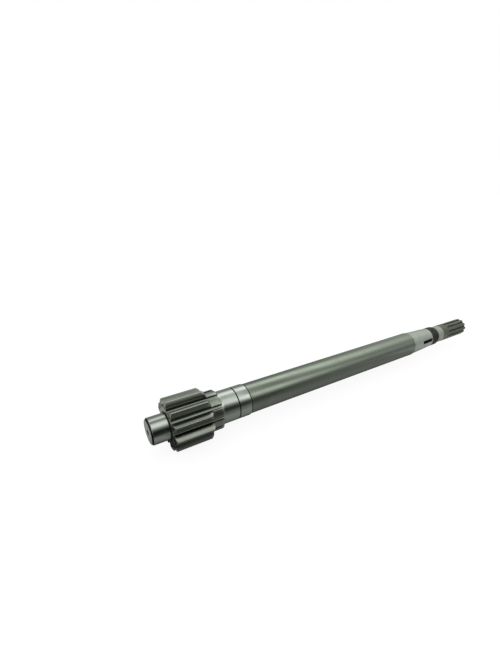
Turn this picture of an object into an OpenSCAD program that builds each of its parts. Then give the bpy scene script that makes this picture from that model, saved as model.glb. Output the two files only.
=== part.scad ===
// Pinion shaft for a drive axle: one forged bar, turned, toothed, splined and ground.
// It lies along +X. The origin is the centre of the end face beside the pinion.
// One tooth and one spline space point straight up, so two teeth carry it on a flat surface.

/* [Spigot beside the pinion] */
// Diameter of the ground spigot
spigot_d = 35; // [30:0.5:40]
// Length of the spigot, from the end face to the pinion
spigot_length = 23.3; // [15:0.1:60]
// Width of the 45 degree bevel on its end
spigot_bevel = 2.2; // [0.5:0.1:4]
// Radius left in the corner against the pinion
spigot_fillet = 1.5; // [0.5:0.1:3]

/* [Pinion] */
// Number of teeth
tooth_count = 11; // [10:1:14]
// Module of the teeth
tooth_module = 5; // [4.8:0.1:5.5]
// Pressure angle of the basic rack, in degrees
pressure_angle = 20; // [17:0.5:22]
// Profile shift as a share of the module, which keeps the roots from being undercut
profile_shift = 0.6; // [0.5:0.05:0.7]
// Clearance below the mating teeth as a share of the module
root_clearance = 0.25; // [0.2:0.01:0.3]
// Outside diameter over the teeth
tip_d = 70; // [68:0.1:71]
// Radius of the fillets at the bottom of each tooth space
root_fillet = 1.6; // [1:0.1:1.7]
// Edge break along the tips of the teeth
tip_break = 0.5; // [0.2:0.1:0.8]
// Length of the teeth, from the end beside the spigot to the shoulder
pinion_length = 51.4; // [35:0.1:90]
// Depth of the bevel on the tooth ends beside the spigot
near_bevel_depth = 4.2; // [1:0.1:5]
// Length of that bevel along the shaft
near_bevel_length = 1.5; // [0.5:0.1:4]
// Width of the 45 degree bevel on the tooth ends beside the shoulder
far_bevel = 2.5; // [1:0.1:4]

/* [Shoulder that the tooth spaces run out through] */
// Diameter of the shoulder
shoulder_d = 54; // [50:0.1:58]
// Length of the shoulder
shoulder_length = 15.6; // [8:0.1:30]
// Bevel on its far edge
shoulder_bevel = 0.8; // [0.3:0.1:2]
// Radius in the corner between the tooth ends and the shoulder
shoulder_fillet = 1; // [0.5:0.1:2]

/* [Bearing journal] */
// Diameter of the ground journal
journal_d = 45; // [44:0.1:46]
// Length of the journal, from the shoulder to the plain body
journal_length = 42.8; // [34:0.1:80]
// Distance from the shoulder to the ring groove
groove_offset = 23.7; // [15:0.1:28]
// Width of the ring groove
groove_width = 1.6; // [1:0.1:3]
// Depth of the ring groove
groove_depth = 1.2; // [0.5:0.1:2]
// Radius left in the corner against the shoulder
journal_fillet = 1; // [0.5:0.1:1.5]

/* [Body] */
// Diameter of the plain body
body_d = 43; // [42.5:0.1:43.8]
// Length of the plain body
body_length = 350; // [200:1:500]

/* [Tapered seat and key] */
// Diameter at the large end of the taper
taper_d = 42; // [41:0.1:42.4]
// Length of the taper
taper_length = 58.5; // [50:0.5:80]
// Length over which the diameter falls by 1
taper_ratio = 10; // [9:1:20]
// Width of the key seat
key_width = 6.4; // [5:0.1:10]
// Diameter of the cutter that sinks the key seat
key_cutter_d = 36; // [30:1:38]
// Depth of the key seat at its middle
key_depth = 7.8; // [6:0.1:9]
// Distance from the small end of the taper to the middle of the key seat
key_offset = 15.7; // [15:0.1:25]
// Height of the key seat above level, as an angle in degrees
key_angle = 11; // [0:1:90]

/* [Thread and relief] */
// Outside diameter of the thread
thread_d = 36; // [35:0.5:36]
// Length of the threaded part
thread_length = 18.4; // [14:0.1:30]
// Length of the bevel down from the thread to the relief
thread_bevel_length = 5; // [2:0.1:8]
// Diameter of the bright relief between the thread and the splines
relief_d = 32; // [29:0.1:32]
// Length of the relief
relief_length = 16.4; // [8:0.1:30]

/* [Splined end] */
// Outside diameter of the splines
spline_d = 32.5; // [32.1:0.1:34]
// Length from the relief to the end face
spline_length = 77.4; // [60:0.1:120]
// Number of splines
spline_count = 11; // [10:1:14]
// Depth of each spline space
spline_depth = 2.65; // [1.5:0.05:3.2]
// Width of each spline space at the outside
spline_space_width = 4.7; // [3.5:0.1:5]
// Slope of each side of a spline space, in degrees
spline_space_slope = 15; // [5:1:25]
// Plain length before the cutter starts to bite
spline_plain_length = 15; // [5:0.5:25]
// Diameter of the cutter, whose curve ends each spline space
spline_cutter_d = 72; // [50:1:90]
// Bevel on the end of the splines
spline_bevel = 1.4; // [0.5:0.1:2]

/* [Centre holes] */
// Diameter at the mouth of each centre hole
centre_mouth_d = 6.7; // [5:0.1:9]
// Diameter of the drilled part
centre_drill_d = 3.2; // [2:0.1:4]
// Depth of the drilled part
centre_drill_depth = 8; // [6:0.5:12]

/* [Hidden] */
$fn = 96;

// Angles of the centre drill: the countersink and the drill point
COUNTERSINK = 60;
DRILL_POINT = 118;
// Share of the drop behind the far tooth bevel that is cut steeply
STEEP_SHARE = 0.25;
// Steps along a tooth flank and round a fillet
FLANK_STEPS = 9;
FILLET_STEPS = 6;
// How far a cutter passes the surface it leaves
OVERCUT = 2;
STEEL = [0.60, 0.62, 0.60];

// Stations along the shaft
pinion_x = spigot_length;
shoulder_x = pinion_x + pinion_length;
journal_x = shoulder_x + shoulder_length;
groove_x = journal_x + groove_offset;
body_x = journal_x + journal_length;
taper_x = body_x + body_length;
thread_x = taper_x + taper_length;
thread_end_x = thread_x + thread_length;
relief_x = thread_end_x + thread_bevel_length;
spline_x = relief_x + relief_length;
end_x = spline_x + spline_length;

// Radii
tip_r = tip_d / 2;
shoulder_r = shoulder_d / 2;
journal_r = journal_d / 2;
body_r = body_d / 2;
spigot_r = spigot_d / 2;
taper_small_r = (taper_d - taper_length / taper_ratio) / 2;
relief_r = relief_d / 2;
spline_r = spline_d / 2;

// Tooth form
tooth_pitch = 360 / tooth_count;
pitch_r = tooth_module * tooth_count / 2;
base_r = pitch_r * cos(pressure_angle);
root_r = pitch_r + tooth_module * (profile_shift - 1 - root_clearance);

function radians(angle) = angle * PI / 180;
function degrees(angle) = angle * 180 / PI;
function polar(r, angle) = [r * cos(angle), r * sin(angle)];

// The involute function of an angle, in radians
function involute(angle) = tan(angle) - radians(angle);

// Half the angle that a tooth fills at a radius
function half_tooth(r) = 90 / tooth_count + degrees(
    2 * profile_shift * tan(pressure_angle) / tooth_count
    + involute(pressure_angle) - involute(acos(base_r / r)));

// Points of an arc about a centre, from one direction to another
function arc(centre, r, from, to, steps) =
    [for (i = [0:steps]) centre + polar(r, from + (to - from) * i / steps)];

// One side of a tooth, from the root circle to the tip, for a tooth centred on angle 0
function tooth_side() =
    let (edge = half_tooth(base_r),
         centre_r = root_r + root_fillet,
         lean = asin(root_fillet / centre_r),
         middle = edge + lean,
         flank_top = tip_r - tip_break)
    concat(
        arc(polar(centre_r, middle), root_fillet, middle + 180, edge + 270, FILLET_STEPS),
        [for (i = [0:FLANK_STEPS])
            let (r = base_r + (flank_top - base_r) * i / FLANK_STEPS)
            polar(r, half_tooth(r))],
        [polar(tip_r, half_tooth(tip_r) - degrees(tip_break / tip_r) / 2)]
    );

function flipped(points) = [for (p = points) [p[0], -p[1]]];
function backwards(points) = [for (i = [len(points) - 1:-1:0]) points[i]];
function turned(points, angle) = [for (p = points)
    [p[0] * cos(angle) - p[1] * sin(angle), p[0] * sin(angle) + p[1] * cos(angle)]];

// One space between two teeth, centred on angle 0, with its mouth straight across clear of the tips
function tooth_space_outline() =
    let (wall = turned(tooth_side(), -tooth_pitch / 2),
         tip = wall[len(wall) - 1],
         side = concat(wall, [tip * (tip_r + OVERCUT) / tip[0]]))
    concat(backwards(flipped(side)), side);

// Half section of the turned bar, as distances along the shaft and radii
function centre_hole() =
    let (mouth_r = centre_mouth_d / 2, drill_r = centre_drill_d / 2)
    [[centre_drill_depth + drill_r / tan(DRILL_POINT / 2), 0],
     [centre_drill_depth, drill_r],
     [(mouth_r - drill_r) / tan(COUNTERSINK / 2), drill_r],
     [0, mouth_r]];

function spigot_section() = concat(
    [[0, spigot_r - spigot_bevel], [spigot_bevel, spigot_r]],
    arc([pinion_x - spigot_fillet, spigot_r + spigot_fillet], spigot_fillet, 270, 360, FILLET_STEPS)
);

function pinion_section() =
    let (bevel_end_x = shoulder_x - (tip_r - far_bevel - shoulder_r) * STEEP_SHARE)
    concat(
        [[pinion_x, tip_r - near_bevel_depth],
         [pinion_x + near_bevel_length, tip_r],
         [bevel_end_x - far_bevel, tip_r],
         [bevel_end_x, tip_r - far_bevel],
         [shoulder_x, shoulder_r + shoulder_fillet]],
        arc([shoulder_x + shoulder_fillet, shoulder_r + shoulder_fillet], shoulder_fillet, 180, 270, FILLET_STEPS)
    );

function shoulder_section() = [
    [journal_x - shoulder_bevel, shoulder_r],
    [journal_x, shoulder_r - shoulder_bevel]
];

function journal_section() = concat(
    backwards(arc([journal_x + journal_fillet, journal_r + journal_fillet], journal_fillet, 270, 180, FILLET_STEPS)),
    [[groove_x, journal_r],
     [groove_x, journal_r - groove_depth],
     [groove_x + groove_width, journal_r - groove_depth],
     [groove_x + groove_width, journal_r],
     [body_x - (journal_r - body_r), journal_r],
     [body_x, body_r]]
);

function far_end_section() = [
    [taper_x, body_r],
    [taper_x, taper_d / 2],
    [thread_x, taper_small_r],
    [thread_x, thread_d / 2],
    [thread_end_x, thread_d / 2],
    [relief_x, relief_r],
    [spline_x, relief_r],
    [spline_x, spline_r],
    [end_x - spline_bevel, spline_r],
    [end_x, spline_r - spline_bevel]
];

function bar_section() = concat(
    centre_hole(),
    spigot_section(),
    pinion_section(),
    shoulder_section(),
    journal_section(),
    far_end_section(),
    backwards([for (p = centre_hole()) [end_x - p[0], p[1]]])
);

// The bar as it leaves the lathe and the grinder
module turned_bar() {
    rotate([0, 90, 0])
        rotate_extrude()
            polygon([for (p = bar_section()) [p[1], p[0]]]);
}

// The spaces between the teeth, each cut along the whole pinion and out through the shoulder
module tooth_spaces() {
    for (i = [0:tooth_count - 1])
        translate([pinion_x - OVERCUT, 0, 0])
            rotate([90, 0, 90])
                linear_extrude(height = pinion_length + shoulder_length + 2 * OVERCUT)
                    polygon(turned(tooth_space_outline(), 90 + (i + 0.5) * tooth_pitch));
}

// One space between splines at the top: a straight run, ended by the curve of the cutter
module spline_space() {
    floor_r = spline_r - spline_depth;
    cutter_r = spline_cutter_d / 2;
    reach = spline_depth + OVERCUT;
    floor_half = spline_space_width / 2 - spline_depth * tan(spline_space_slope);
    top_half = floor_half + reach * tan(spline_space_slope);
    run_out = sqrt(cutter_r * cutter_r - (cutter_r - spline_depth) * (cutter_r - spline_depth));
    full_x = spline_x + spline_plain_length + run_out;
    translate([full_x, 0, 0])
        rotate([90, 0, 90])
            linear_extrude(height = end_x + OVERCUT - full_x)
                polygon([[-floor_half, floor_r], [floor_half, floor_r],
                         [top_half, floor_r + reach], [-top_half, floor_r + reach]]);
    translate([full_x, 0, floor_r + cutter_r])
        rotate([90, 0, 0])
            rotate_extrude()
                polygon([[0, -top_half], [cutter_r - reach, -top_half],
                         [cutter_r, -floor_half], [cutter_r, floor_half],
                         [cutter_r - reach, top_half], [0, top_half]]);
}

module spline_spaces() {
    for (i = [0:spline_count - 1])
        rotate([i * 360 / spline_count, 0, 0])
            spline_space();
}

// Half-moon seat sunk into the taper by a disc cutter
module key_seat() {
    middle_x = thread_x - key_offset;
    surface_r = taper_small_r + key_offset / taper_ratio / 2;
    rotate([90 - key_angle, 0, 0])
        translate([middle_x, 0, surface_r - key_depth + key_cutter_d / 2])
            rotate([90, 0, 0])
                cylinder(d = key_cutter_d, h = key_width, center = true);
}

module axle_shaft() {
    color(STEEL)
        difference() {
            turned_bar();
            tooth_spaces();
            spline_spaces();
            key_seat();
        }
}

axle_shaft();
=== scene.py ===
"""The finished look of a pinion axle shaft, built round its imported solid."""

import math
from types import SimpleNamespace

import bmesh
import bpy
import numpy as np
from bpy.props import FloatProperty, FloatVectorProperty, IntProperty, PointerProperty
from mathutils import Matrix, Vector


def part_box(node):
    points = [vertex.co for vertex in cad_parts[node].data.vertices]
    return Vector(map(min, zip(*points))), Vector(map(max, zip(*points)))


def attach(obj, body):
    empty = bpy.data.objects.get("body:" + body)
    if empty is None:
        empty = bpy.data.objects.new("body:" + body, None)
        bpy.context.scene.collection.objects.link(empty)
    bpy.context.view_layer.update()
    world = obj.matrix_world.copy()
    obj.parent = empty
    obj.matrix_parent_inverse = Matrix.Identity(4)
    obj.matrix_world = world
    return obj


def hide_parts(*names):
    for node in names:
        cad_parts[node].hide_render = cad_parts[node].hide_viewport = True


bl_info = {
    "name": "Pinion axle shaft",
    "version": (1, 0, 0),
    "blender": (4, 5, 0),
    "location": "3D View > Sidebar > Shaft",
    "description": "Builds a finished pinion axle shaft, its steels and a plain studio round it",
    "category": "Object",
}

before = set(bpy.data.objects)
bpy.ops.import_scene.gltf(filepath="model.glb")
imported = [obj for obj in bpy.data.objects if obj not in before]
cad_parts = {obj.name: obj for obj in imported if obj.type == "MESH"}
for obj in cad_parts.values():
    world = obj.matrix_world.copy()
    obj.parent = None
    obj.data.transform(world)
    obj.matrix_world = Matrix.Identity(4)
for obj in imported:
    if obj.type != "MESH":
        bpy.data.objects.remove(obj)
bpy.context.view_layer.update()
SOLID_LOW, SOLID_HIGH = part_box("axle_shaft")

MM = 0.001
PIECE = "finished_shaft"
# The material slots, in the order in which make_finishes fills them; the near-black slot after the key
# seat's holds painted shade
GROUND, SATIN, TOOTH, END_FACE, TAPER, THREAD, RELIEF, SPLINE, KEY_SEAT, PAINTED_SHADE, SHOULDER = range(11)

# Every ring starts in the middle of a tooth space; plain round ones have this many columns
START_ANGLE = math.radians(90 - 180 / 11)
ROUND_COLUMNS = 176
ROUND_ANGLES = START_ANGLE + np.arange(ROUND_COLUMNS) * 2 * math.pi / ROUND_COLUMNS
# A rounded corner: its steps, the largest share that it takes of an edge beside it, and how far
# out the rings that steady it stand, in sizes of the rounding
CORNER_STEPS = 3
CORNER_SHARE = 0.28
STANDOFF = 1.6
FILLET_STEPS = 6
# Where a rounded end edge is sampled, in edge breaks: (along the shaft, into the steel)
ROUNDING = ((1.0, 0.0), (0.62, 0.08), (0.28, 0.3), (0.08, 0.62), (0.0, 1.0))
# Rows of points on the tooth flanks between root and tip, and one halfway up the tooth ends
FLANK_RADII = (26.4 * MM, 29.4 * MM, 31.7 * MM, 33.5 * MM)
END_ROW_RADIUS = 30.2 * MM
# The smallest step: between a corner and the row beside it, and where a corner is blunted
TIGHT = 0.12 * MM
# How far the tooth ends beside the shoulder lean back, as a share of their height
FAR_LEAN = 0.25
# The thread: rings for each pitch, its depth in pitches, where it starts and the length of its start
RINGS_PER_PITCH = 12
THREAD_DEPTH = 0.61
THREAD_START = 0.8 * MM
THREAD_START_LENGTH = 2.2 * MM
# Where a spline cutter rises out of its space: the length, and the rings, closer at its start
RUN_OUT = 13.6 * MM
RUN_OUT_RINGS = 26
RUN_OUT_POWER = 1.35
SPLINE_END_BREAK = 0.22 * MM
# A centre hole: half the angles of its mouth and of the drill's point, and the ring of painted shade round
# it
MOUTH_ANGLE = math.radians(30)
POINT_ANGLE = math.radians(59)
MOUTH_SHADE_RING = 0.5 * MM
# The key seat: the sides of its round cutter, and the break and the wear of its mouth
KEY_CUTTER_COLUMNS = 144
KEY_MOUTH_BREAK = 0.22 * MM
KEY_MOUTH_WEAR = 0.3
# Faces that meet at more than this angle show a sharp edge
SHARP_ANGLE = math.radians(33)
# Points closer than this are one point
WELD = 2e-6


# Sizes, colours and studio settings

def length(name, description, millimetres):
    return FloatProperty(
        name=name, description=description, default=millimetres * MM, min=0.0, precision=5,
        unit="LENGTH", subtype="DISTANCE",
    )


def angle(name, description, degrees):
    return FloatProperty(
        name=name, description=description, default=math.radians(degrees), unit="ROTATION",
        subtype="ANGLE",
    )


def colour(name, description, value):
    return FloatVectorProperty(
        name=name, description=description, default=value, min=0.0, max=1.0, size=3,
        subtype="COLOR",
    )


def factor(name, description, value):
    return FloatProperty(
        name=name, description=description, default=value, min=0.0, max=1.0, subtype="FACTOR"
    )


class ShaftSizes(bpy.types.PropertyGroup):
    """Sizes of the shaft, the same as those of its solid"""

    spigot_d: length("Spigot", "Diameter of the ground spigot", 35)
    spigot_length: length("Spigot length", "From the end face to the pinion", 23.3)
    spigot_bevel: length("Spigot bevel", "Width of the bevel on the spigot's end", 2.2)
    spigot_fillet: length("Spigot corner", "Radius in the corner against the pinion", 1.5)
    tooth_count: IntProperty(
        name="Teeth", description="Number of pinion teeth and of splines", default=11, min=6
    )
    tooth_module: length("Module", "Module of the teeth", 5)
    pressure_angle: angle("Pressure angle", "Pressure angle of the basic rack", 20)
    profile_shift: FloatProperty(
        name="Profile shift", description="Profile shift as a share of the module", default=0.6
    )
    root_clearance: FloatProperty(
        name="Root clearance", description="Clearance as a share of the module", default=0.25
    )
    tip_d: length("Over the teeth", "Outside diameter of the pinion", 70)
    root_fillet: length("Root fillet", "Radius at the bottom of each tooth space", 1.6)
    tip_break: length("Tip break", "Rounding along the tips of the teeth", 0.5)
    pinion_length: length("Pinion length", "Length of the teeth", 51.4)
    near_bevel_depth: length("Near bevel depth", "Depth of the bevel beside the spigot", 4.2)
    near_bevel_length: length("Near bevel length", "Length of the bevel beside the spigot", 1.5)
    far_bevel: length("Far bevel", "Bevel on the teeth beside the shoulder", 2.5)
    shoulder_d: length("Shoulder", "Diameter of the shoulder behind the pinion", 54)
    shoulder_length: length("Shoulder length", "Length of the shoulder", 15.6)
    shoulder_bevel: length("Shoulder bevel", "Bevel on the shoulder's far edge", 0.8)
    shoulder_fillet: length("Shoulder corner", "Radius between tooth ends and shoulder", 1)
    journal_d: length("Journal", "Diameter of the ground journal", 45)
    journal_length: length("Journal length", "From the shoulder to the plain body", 42.8)
    journal_fillet: length("Journal corner", "Radius in the corner against the shoulder", 1)
    groove_offset: length("Groove offset", "From the shoulder to the ring groove", 23.7)
    groove_width: length("Groove width", "Width of the ring groove", 1.6)
    groove_depth: length("Groove depth", "Depth of the ring groove", 1.2)
    body_d: length("Body", "Diameter of the plain body", 43)
    body_length: length("Body length", "Length of the plain body", 350)
    taper_d: length("Taper", "Diameter at the large end of the taper", 42)
    taper_small_d: length("Taper small end", "Diameter at the small end of the taper", 36.15)
    taper_length: length("Taper length", "Length of the taper", 58.5)
    key_width: length("Key width", "Width of the key seat", 6.4)
    key_cutter_d: length("Key cutter", "Diameter of the disc that sinks the key seat", 36)
    key_depth: length("Key depth", "Depth of the key seat at its middle", 7.8)
    key_offset: length("Key offset", "From the small end of the taper to the key seat", 15.7)
    key_angle: angle("Key angle", "Height of the key seat above level", 11)
    thread_d: length("Thread", "Outside diameter of the thread", 36)
    thread_length: length("Thread length", "Length of the threaded part", 18.4)
    thread_bevel_length: length("Thread bevel", "Length of the bevel down to the relief", 5)
    thread_pitch: length("Thread pitch", "From one thread to the next", 2)
    relief_d: length("Relief", "Diameter of the bright relief", 32)
    relief_length: length("Relief length", "Length of the relief", 16.4)
    spline_d: length("Splines", "Outside diameter of the splines", 32.5)
    spline_length: length("Spline length", "From the relief to the end face", 77.4)
    spline_depth: length("Spline depth", "Depth of each spline space", 2.65)
    spline_space_width: length("Spline space", "Width of each spline space outside", 4.7)
    spline_space_slope: angle("Spline slope", "Slope of each side of a spline space", 15)
    spline_plain_length: length("Spline plain part", "Length before the cutter bites", 15)
    spline_cutter_d: length("Spline cutter", "Diameter of the cutter of the spaces", 72)
    spline_bevel: length("Spline bevel", "Bevel on the end of the splines", 1.4)
    centre_mouth_d: length("Centre mouth", "Diameter at the mouth of a centre hole", 6.7)
    centre_drill_d: length("Centre drill", "Diameter of the drilled part of a centre hole", 3.2)
    centre_depth: length("Centre depth", "Depth of the drilled part of a centre hole", 8)
    edge_break: length("Edge break", "Rounding of the machined edges", 0.3)


class SteelLooks(bpy.types.PropertyGroup):
    """Colours of the steel along the shaft"""

    ground: colour("Ground", "Spigot and bearing journals", (0.625, 0.69, 0.615))
    satin: colour("Satin", "Plain body", (0.362, 0.42, 0.345))
    tooth: colour("Tooth", "Flanks and lands of the teeth", (0.385, 0.425, 0.36))
    # Also the colour of the painted shade low in the tooth spaces
    oil: colour("Oil film", "Brown oil dried in the tooth spaces", (0.055, 0.046, 0.036))
    shoulder: colour("Shoulder", "Lands of the shoulder behind the teeth", (0.42, 0.47, 0.395))
    end_face: colour("End face", "Turned end faces", (0.68, 0.71, 0.66))
    taper: colour("Taper", "Tapered seat", (0.58, 0.64, 0.56))
    thread: colour("Thread", "Blackened thread", (0.112, 0.13, 0.108))
    relief: colour("Relief", "Turned relief beside the thread", (0.545, 0.58, 0.51))
    spline: colour("Splines", "Hardened splines", (0.172, 0.20, 0.158))
    # Near black: painted shade inside the key seat
    key_seat: colour("Key seat", "Oily milled key seat", (0.10, 0.10, 0.085))
    # Near black, used as painted shade in the ring groove, the centre holes, the corners and deep in the
    # thread and spline spaces, and as a painted dark line on the spigot's bevel
    groove: colour("Groove", "Dirt in the ring groove and the corners", (0.035, 0.034, 0.028))
    olive: colour("Olive stain", "Thin dried oil on the body and the splines", (0.20, 0.22, 0.13))
    # Also the painted highlight along the edges
    edge: colour("Worn edge", "Steel rubbed bright along the edges", (0.72, 0.74, 0.70))


class StudioSettings(bpy.types.PropertyGroup):
    """Camera, floor and cards of the studio"""

    lens: FloatProperty(
        name="Lens",
        description="Focal length for a 36 mm frame",
        default=19.892,
        subtype="DISTANCE_CAMERA",
    )
    floor: colour("Floor", "Colour of the floor", (0.94, 0.94, 0.94))
    level: factor("Level", "Strength of the even light on the floor", 0.92)
    floor_glow: factor("Floor glow", "Share of the floor that shows as plain white", 0.84)
    card_level: FloatProperty(
        name="Card level", description="Brightness of the card round the shaft", default=1.0, min=0.0
    )
    lamp_power: FloatProperty(
        name="Lamp power", description="Power of each softbox", default=4.0, min=0.0, unit="POWER"
    )


# Outlines

def softened(corners):
    """Half section with rounded corners: (x, radius, size of the rounding) becomes (x, radius, worn)."""
    points = []
    last = len(corners) - 1
    for i, (x, r, size) in enumerate(corners):
        here = Vector((x, r))
        if size == 0 or i in (0, last):
            points.append((x, r, 0.0))
            continue
        back = Vector(corners[i - 1][:2]) - here
        on = Vector(corners[i + 1][:2]) - here
        reach = min(size, CORNER_SHARE * back.length, CORNER_SHARE * on.length)
        back.normalize()
        on.normalize()
        points.append((*(here + back * reach * STANDOFF), 0.0))
        for step in range(CORNER_STEPS + 1):
            t = step / CORNER_STEPS
            points.append((*(here + back * reach * (1 - t) ** 2 + on * reach * t ** 2), 1.0))
        points.append((*(here + on * reach * STANDOFF), 0.0))
    return points


def arc(x, r, radius, start, end):
    """Points of a quarter of a circle in the half section, in degrees from +x."""
    angles = np.radians(np.linspace(start, end, FILLET_STEPS + 1))
    return [(x + radius * math.cos(a), r + radius * math.sin(a), 0.0) for a in angles]


def involute(a):
    return math.tan(a) - a


def tooth_outline(s):
    """Radii, angles and wear of the teeth all round, from the middle of one space."""
    half_pitch = math.pi / s.tooth_count
    pitch_r = s.tooth_module * s.tooth_count / 2
    base_r = pitch_r * math.cos(s.pressure_angle)
    root_r = pitch_r + s.tooth_module * (s.profile_shift - 1 - s.root_clearance)
    tip_r = s.tip_d / 2

    def half_tooth(r):
        shift = 2 * s.profile_shift * math.tan(s.pressure_angle) / s.tooth_count
        roll = involute(s.pressure_angle) - involute(math.acos(min(1.0, base_r / r)))
        return half_pitch / 2 + shift + roll

    # The floor of the space and its fillet
    edge = half_tooth(base_r)
    centre_r = root_r + s.root_fillet
    middle = edge + math.asin(s.root_fillet / centre_r)
    half = [(root_r, 0.0, 0.0), (root_r, (half_pitch - middle) * 0.55, 0.0)]
    for step in range(FILLET_STEPS + 1):
        a = middle + math.pi + (edge + 1.5 * math.pi - middle - math.pi) * step / FILLET_STEPS
        y = centre_r * math.cos(middle) + s.root_fillet * math.cos(a)
        z = centre_r * math.sin(middle) + s.root_fillet * math.sin(a)
        half.append((math.hypot(y, z), half_pitch - math.atan2(z, y), 0.0))
    # The flank
    flank_top = tip_r - s.tip_break
    shoulder_r = s.shoulder_d / 2
    stops = {base_r + TIGHT, shoulder_r, shoulder_r + s.shoulder_fillet, *FLANK_RADII}
    stops |= {tip_r - s.near_bevel_depth, tip_r - s.far_bevel, flank_top - 0.3 * MM, flank_top}
    for r in sorted(stops):
        half.append((r, half_pitch - half_tooth(r), float(r == flank_top)))
    # The broken tip edge and the land
    tip_edge = half_tooth(tip_r)
    land = tip_edge - s.tip_break * 0.9 / tip_r
    start = Vector((flank_top, half_tooth(flank_top) * tip_r))
    corner = Vector((tip_r, tip_edge * tip_r))
    end = Vector((tip_r, land * tip_r))
    for t in (0.33, 0.67):
        p = start * (1 - t) ** 2 + corner * 2 * t * (1 - t) + end * t ** 2
        half.append((p[0], half_pitch - p[1] / tip_r, 1.0))
    for share, worn in ((1.0, 1.0), (0.82, 0.0), (0.4, 0.0), (0.0, 0.0)):
        half.append((tip_r, half_pitch - land * share, worn))
    return all_round(half, half_pitch, s.tooth_count)


def all_round(half, half_pitch, count):
    """Repeats half of one sector, mirrored, all the way round."""
    sector = half + [(r, 2 * half_pitch - a, worn) for r, a, worn in reversed(half[1:-1])]
    rows = []
    for k in range(count):
        rows += [(r, START_ANGLE + 2 * half_pitch * k + a, worn) for r, a, worn in sector]
    radii, angles, worn = (np.array(column) for column in zip(*rows))
    return radii, angles, worn


def drawn_in(radii, angles, depth):
    """The outline moved into the steel by a depth, which may differ from point to point."""
    y = radii * np.cos(angles)
    z = radii * np.sin(angles)
    along_y = np.roll(y, -1) - np.roll(y, 1)
    along_z = np.roll(z, -1) - np.roll(z, 1)
    size = np.hypot(along_y, along_z)
    y = y - depth * along_z / size
    z = z + depth * along_y / size
    turn = np.arctan2(z, y) - angles
    turn = (turn + math.pi) % (2 * math.pi) - math.pi
    return np.hypot(y, z), angles + turn


def spline_outline(s, x, end_x):
    """Radii, angles and wear of the splines at one place along the shaft."""
    half_pitch = math.pi / s.tooth_count
    outside = s.spline_d / 2
    floor_r = outside - s.spline_depth
    cutter_r = s.spline_cutter_d / 2
    slope = math.tan(s.spline_space_slope)
    floor_half = s.spline_space_width / 2 - s.spline_depth * slope
    run_out = math.sqrt(cutter_r ** 2 - (cutter_r - s.spline_depth) ** 2)
    full_x = end_x - s.spline_length + s.spline_plain_length + run_out
    short = min(max(0.0, full_x - x), run_out)
    floor_z = floor_r + cutter_r - math.sqrt(cutter_r ** 2 - short ** 2)
    # The top edge of the space, found by stepping to where its side meets the outside
    top_y = floor_half
    for _ in range(8):
        top_z = math.sqrt(outside ** 2 - top_y ** 2)
        from_axis = math.hypot(short, floor_r + cutter_r - top_z)
        top_y = floor_half + max(TIGHT, (cutter_r - from_axis) * slope)
    top_z = math.sqrt(outside ** 2 - top_y ** 2)
    top_angle = math.atan2(top_y, top_z)
    depth = max(0.0, outside - floor_z)
    blunt = 0.07 * MM * min(1.0, depth / (0.6 * MM))
    half = []
    for share, worn in ((0.0, 0.0), (0.35, 0.0), (0.7, 0.0), (0.93, 1.0)):
        half.append((outside, (half_pitch - top_angle) * share, worn))
    half.append((outside - blunt, half_pitch - top_angle, 1.0))
    points = []
    for share, worn in ((0.88, 1.0), (0.5, 0.0), (0.12, 0.0), (0.0, 0.0)):
        y = floor_half + (top_y - floor_half) * share
        points.append((y, floor_z + (top_z - floor_z) * share, worn))
    points += [(floor_half * share, floor_z, 0.0) for share in (0.85, 0.5, 0.0)]
    for y, z, worn in points:
        half.append((min(outside, math.hypot(y, z)), half_pitch - math.atan2(y, z), worn))
    return all_round(half, half_pitch, s.tooth_count)


# The shaft's skin

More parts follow.
